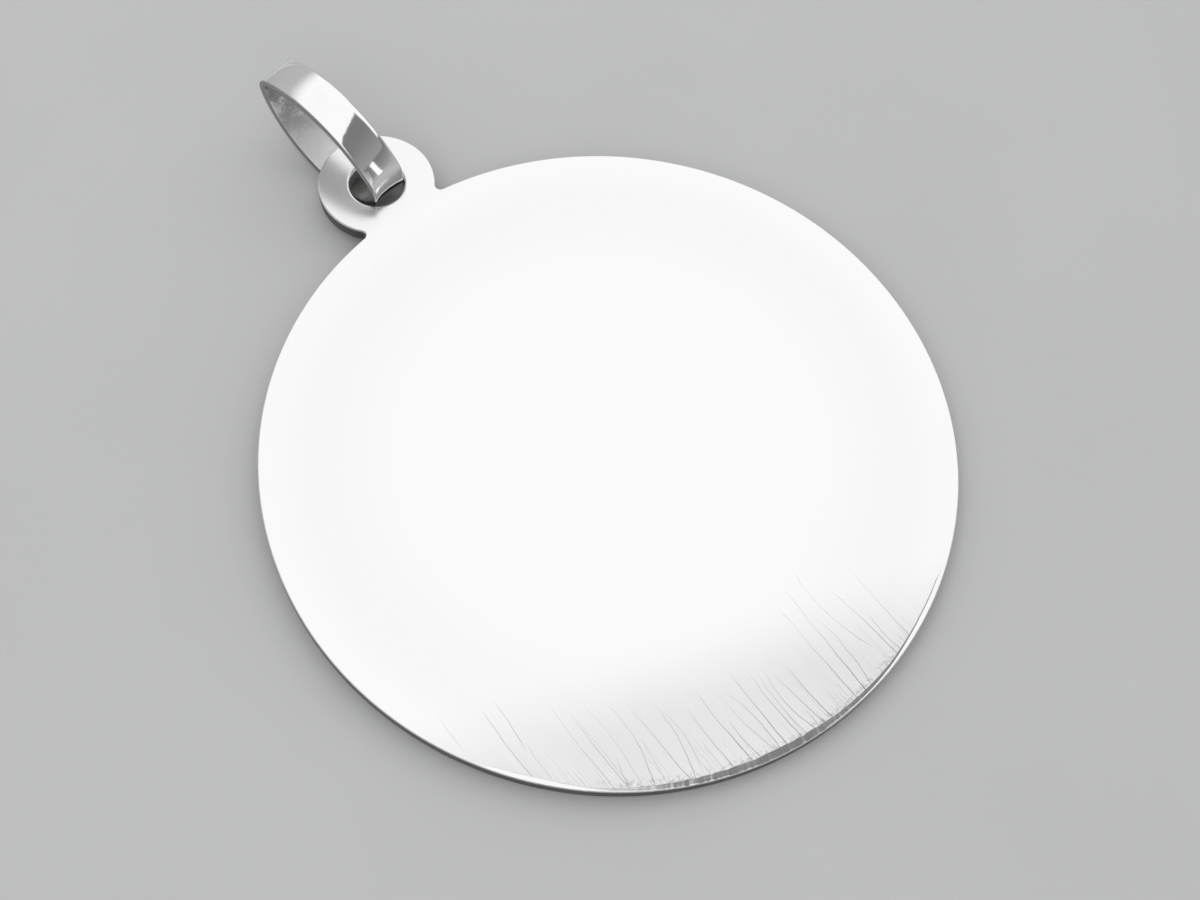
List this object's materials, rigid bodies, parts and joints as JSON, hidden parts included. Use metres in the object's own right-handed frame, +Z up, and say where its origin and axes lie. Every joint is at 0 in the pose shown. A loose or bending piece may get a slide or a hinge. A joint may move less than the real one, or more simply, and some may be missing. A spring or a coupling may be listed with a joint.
{
  "type": "disc pendant",
  "caption": "Plain round polished steel disc pendant with a drilled ear and a loose flat-band loop bail, lying at rest.",
  "frame": {"origin": "middle of the part's bounding box, at its bottom, on the surface that it lies on", "axes": "+Z up from the surface, +Y from the disc towards the ear and the bail, +X to the right of that, seen from above"},
  "size_m": [0.036, 0.046, 0.0058],
  "materials": {
    "polished_plate": "finely polished, with a few fine hairline marks near the lower rim",
    "mirror_band": "mirror polished, with softly rounded edges"
  },
  "bodies": {
    "root": {"plate": "polished_plate", "bail": "mirror_band"}
  },
  "joints": []
}
